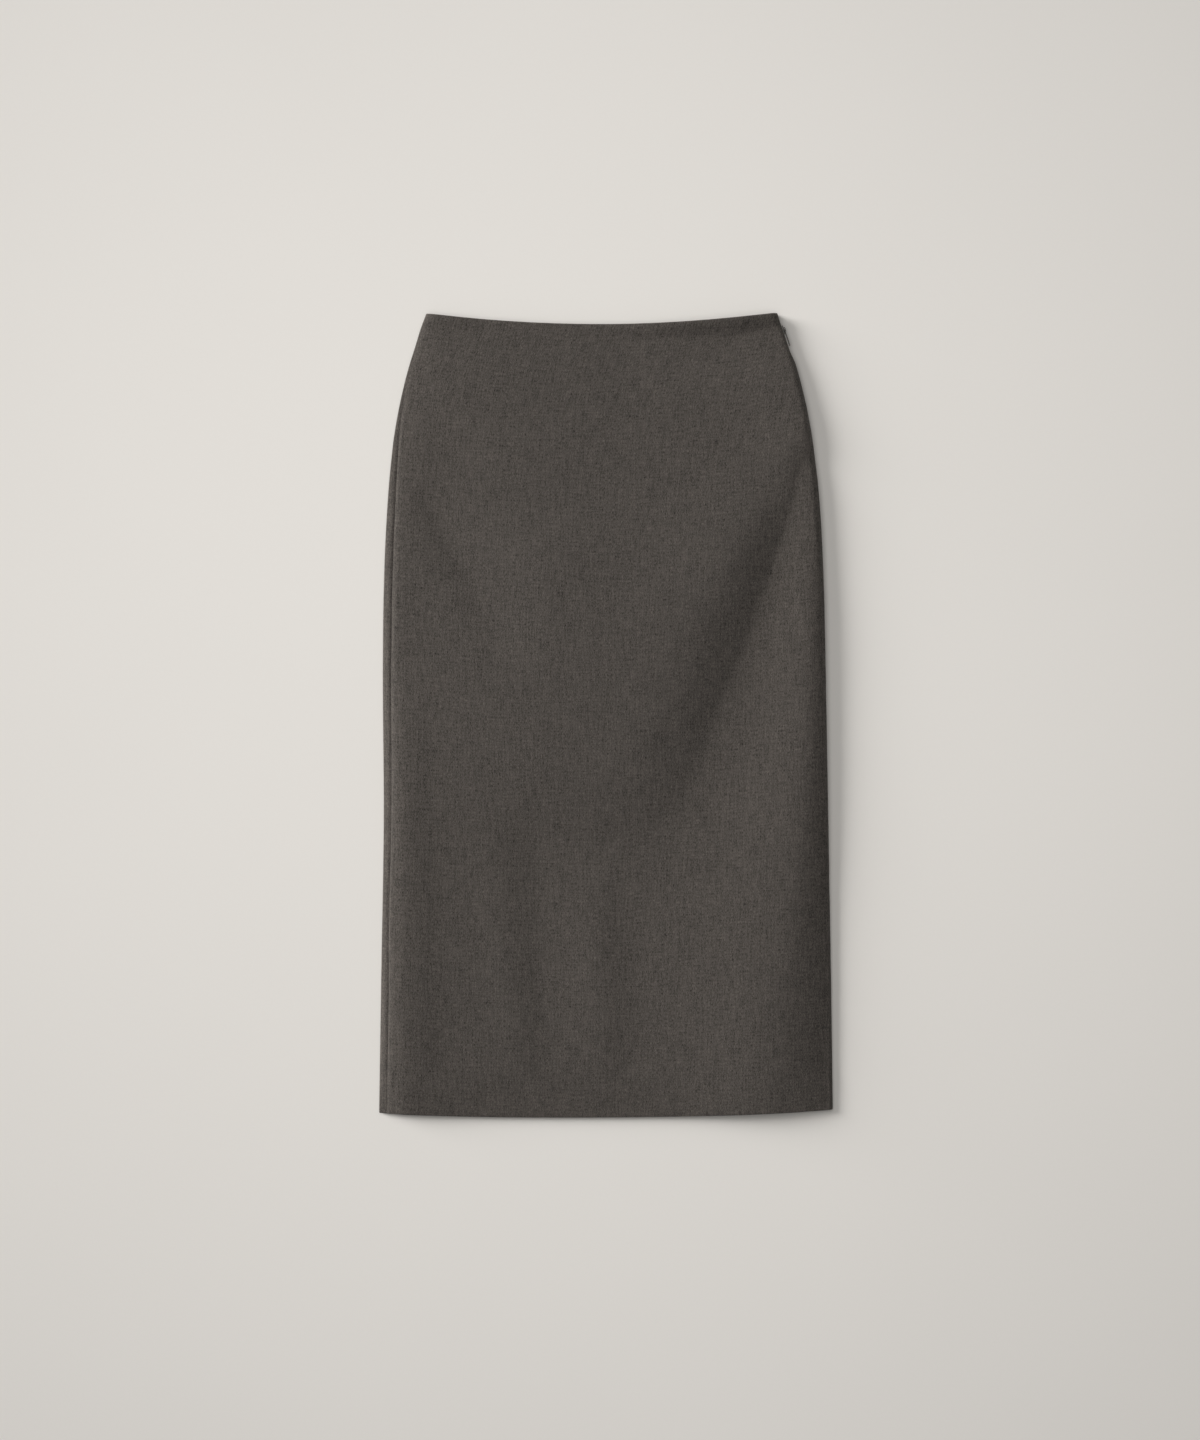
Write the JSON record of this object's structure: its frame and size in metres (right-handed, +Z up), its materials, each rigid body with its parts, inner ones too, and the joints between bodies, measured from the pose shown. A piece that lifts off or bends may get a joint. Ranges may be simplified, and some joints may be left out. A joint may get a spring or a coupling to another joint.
{
  "type": "pencil skirt",
  "caption": "Knee-covering pencil skirt of dark wool cloth, laid flat with its front up, open at waist and hem, with a concealed side zip.",
  "frame": {"origin": "middle of the underside, on the surface that the skirt lies on", "axes": "+Z up out of the front, +Y towards the waist, +X towards the side seam with the zip"},
  "size_m": [0.4447, 0.7858, 0.0193],
  "materials": {
    "wool_cloth": "matt charcoal wool twill",
    "zip_tape": "matt woven tape",
    "zip_metal": "satin enamel"
  },
  "bodies": {
    "skirt": {"front_panel": "wool_cloth", "back_panel_left": "wool_cloth", "back_panel_right": "wool_cloth", "zip_tape": "zip_tape", "zip_slider": "zip_metal"},
    "pull": {"zip_pull": "zip_metal"}
  },
  "joints": [
    {"name": "pull_hinge", "type": "hinge", "parent": "skirt", "child": "pull", "pos_m": [0.17424, 0.37752, 0.0052], "axis": [0, 0, 1], "range_deg": [0, 170]}
  ]
}
